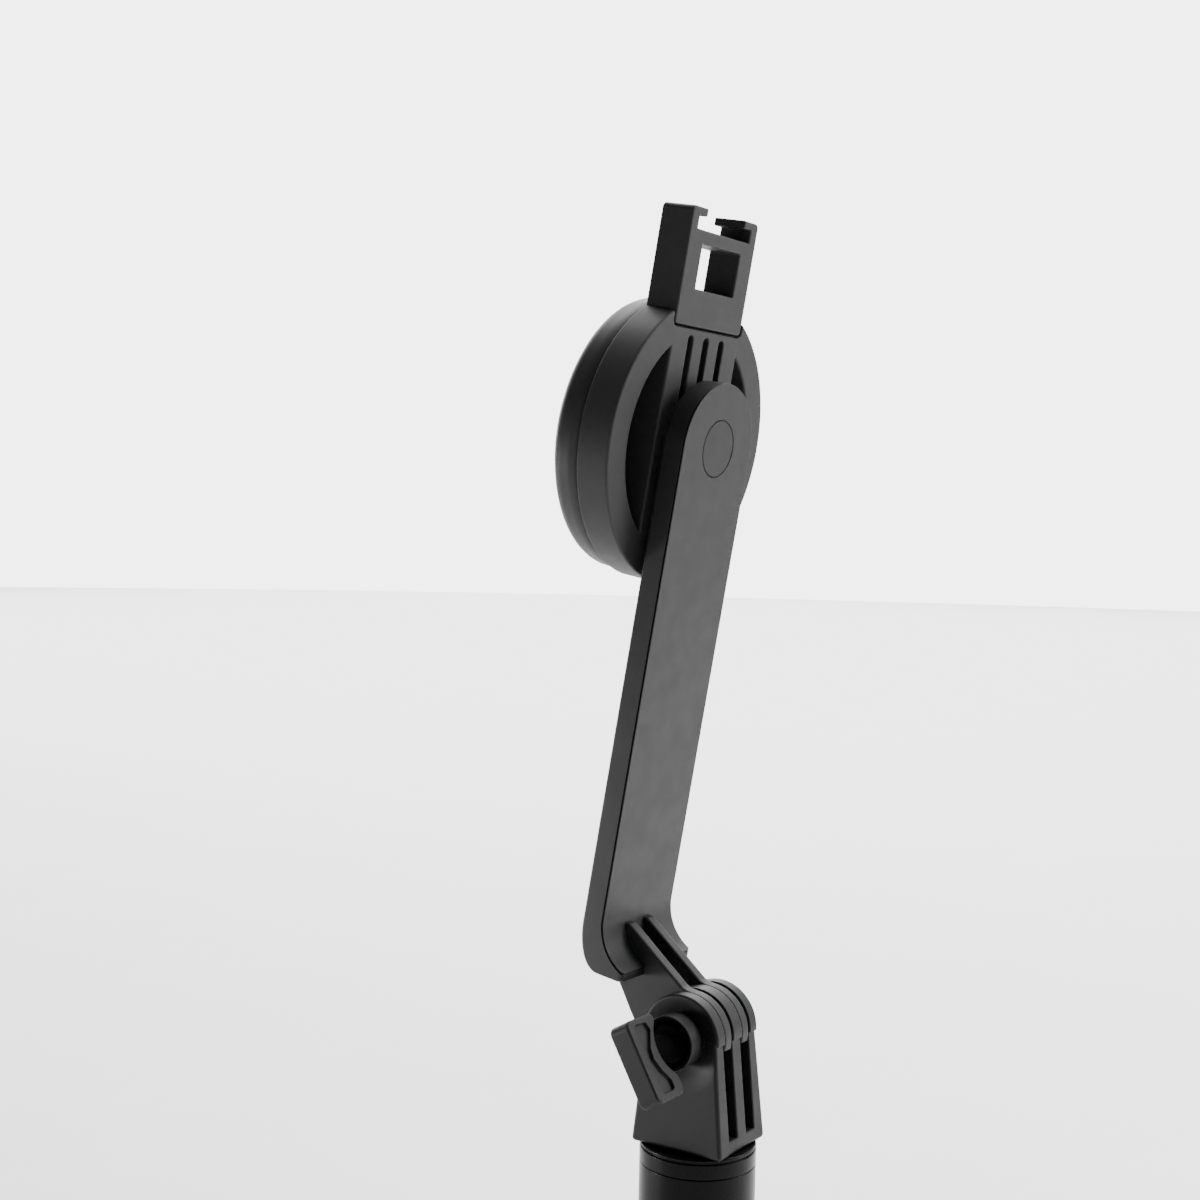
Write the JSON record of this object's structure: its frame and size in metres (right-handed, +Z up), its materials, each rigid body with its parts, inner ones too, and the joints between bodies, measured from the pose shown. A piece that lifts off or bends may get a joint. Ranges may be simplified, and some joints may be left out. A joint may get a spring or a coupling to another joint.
{
  "type": "selfie stick",
  "caption": "Handheld telescopic pole with a folding arm, thumb-screw hinge, turning ring-shaped magnetic phone head and an accessory shoe.",
  "frame": {"origin": "centre of the mouth of the tripod thread in the underside of the handle, on the pole's axis", "axes": "+Z up the pole towards the head, +X along the folding hinge's axis towards the thumb knob, the phone's place on the -Y side"},
  "size_m": [0.054, 0.0372, 0.364],
  "materials": {
    "pole_black": "gloss black anodised",
    "grip_rubber": "matt moulded rubber",
    "trim_metal": "dark anodised",
    "handle_plastic": "fine texture",
    "brass": "turned",
    "gloss_cap": "semi gloss",
    "steel": "zinc plated",
    "hinge_plastic": "fine texture",
    "knob_plastic": "fine texture",
    "arm_plastic": "fine texture",
    "cover_plastic": "satin",
    "bearing_plastic": "natural",
    "ring_plastic": "satin",
    "puck_plastic": "soft touch",
    "magnet_nickel": "nickel plated",
    "pad_rubber": "smooth silicone",
    "section_metal": "satin anodised"
  },
  "bodies": {
    "handle": {"outer_tube": "pole_black", "grip_sleeve": "grip_rubber", "grip_ring": "trim_metal", "end_cap": "handle_plastic", "thread_insert": "brass", "slide_bush_1": "bearing_plastic"},
    "section_1": {"tube_section_1": "section_metal", "friction_plug_1": "bearing_plastic", "slide_bush_2": "bearing_plastic"},
    "section_2": {"tube_section_2": "section_metal", "friction_plug_2": "bearing_plastic", "slide_bush_3": "bearing_plastic"},
    "section_3": {"tube_section_3": "section_metal", "friction_plug_3": "bearing_plastic", "slide_bush_4": "bearing_plastic"},
    "section_4": {"tube_section_4": "section_metal", "friction_plug_4": "bearing_plastic", "top_cap": "gloss_cap", "spigot_pin": "steel", "hinge_base": "hinge_plastic", "hex_nut": "steel"},
    "screw_carrier": {"knob_washer": "steel"},
    "thumb_screw": {"thumb_knob": "knob_plastic", "thumb_bolt": "steel"},
    "arm": {"arm_frame": "arm_plastic", "arm_cover": "cover_plastic", "pivot_cap": "cover_plastic"},
    "head": {"pivot_screw": "steel", "wave_washer": "steel", "friction_washer": "bearing_plastic", "pivot_nut": "steel", "ring_housing": "ring_plastic", "shoe_bracket": "ring_plastic", "bracket_screws": "steel", "puck_shell": "puck_plastic", "puck_screws": "steel", "shunt_ring": "steel", "magnet_carrier": "bearing_plastic", "magnet_array": "magnet_nickel", "contact_pad": "pad_rubber"}
  },
  "joints": [
    {"name": "section_1_slide", "type": "slide", "parent": "handle", "child": "section_1", "axis": [0, 0, 1], "range_m": [0, 0.145]},
    {"name": "section_2_slide", "type": "slide", "parent": "section_1", "child": "section_2", "axis": [0, 0, 1], "range_m": [0, 0.145]},
    {"name": "section_3_slide", "type": "slide", "parent": "section_2", "child": "section_3", "axis": [0, 0, 1], "range_m": [0, 0.145]},
    {"name": "section_4_slide", "type": "slide", "parent": "section_3", "child": "section_4", "axis": [0, 0, 1], "range_m": [0, 0.145]},
    {"name": "arm_tilt", "type": "hinge", "parent": "section_4", "child": "arm", "pos_m": [0, 0, 0.209], "axis": [1, 0, 0], "range_deg": [-168, 25]},
    {"name": "ring_turn", "type": "hinge", "parent": "arm", "child": "head", "pos_m": [0, -0.00551, 0.32046], "axis": [0, 0.9854, -0.1702], "range_deg": [-90, 90]},
    {"name": "screw_advance", "type": "slide", "parent": "section_4", "child": "screw_carrier", "axis": [1, 0, 0], "range_m": [0, 0.0016]},
    {"name": "screw_turn", "type": "hinge", "parent": "screw_carrier", "child": "thumb_screw", "pos_m": [0.008, 0, 0.209], "axis": [1, 0, 0], "range_deg": [0, 722]}
  ],
  "couplings": [
    {"joint": "screw_turn", "follows": "screw_advance", "rad_per_m": 7854}
  ]
}
